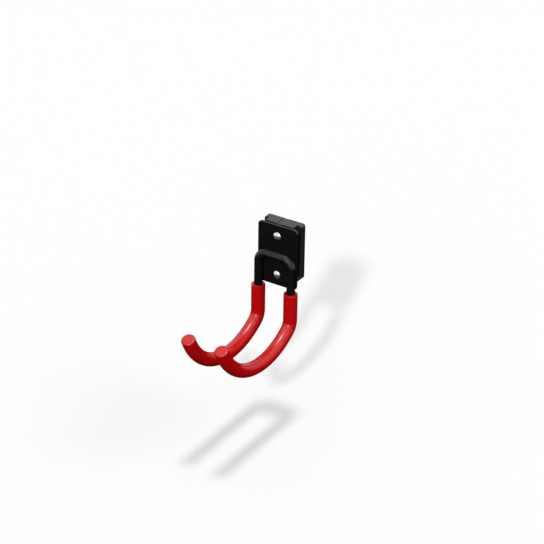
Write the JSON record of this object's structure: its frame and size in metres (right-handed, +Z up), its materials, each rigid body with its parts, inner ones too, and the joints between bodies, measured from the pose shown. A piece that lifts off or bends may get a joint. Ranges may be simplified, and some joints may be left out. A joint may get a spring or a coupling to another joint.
{
  "type": "garage utility hook",
  "caption": "Rail-mounted garage hook: a T-section slide block and riveted steel plate carry a bent rod whose long upswept arms wear red vinyl grips.",
  "frame": {"origin": "centre of the slide block's back face, which lies against the wall side of the rail", "axes": "+X across the hook, +Y into the wall, +Z up; the arms reach out along -Y and X = 0 is the mirror plane"},
  "size_m": [0.0576, 0.1649, 0.1439],
  "materials": {
    "moulded_block": "black moulded ABS, fine matt grain",
    "coated_plate": "black powder coat on steel sheet, satin",
    "coated_rod": "black powder coat on round steel rod, satin",
    "red_vinyl": "smooth red dip-moulded vinyl, soft gloss",
    "polished_rivet": "polished plated steel"
  },
  "bodies": {
    "root": {"slide_block": "moulded_block", "front_plate": "coated_plate", "hook_rod": "coated_rod", "left_grip": "red_vinyl", "right_grip": "red_vinyl", "upper_rivet": "polished_rivet", "lower_rivet": "polished_rivet"}
  },
  "joints": []
}
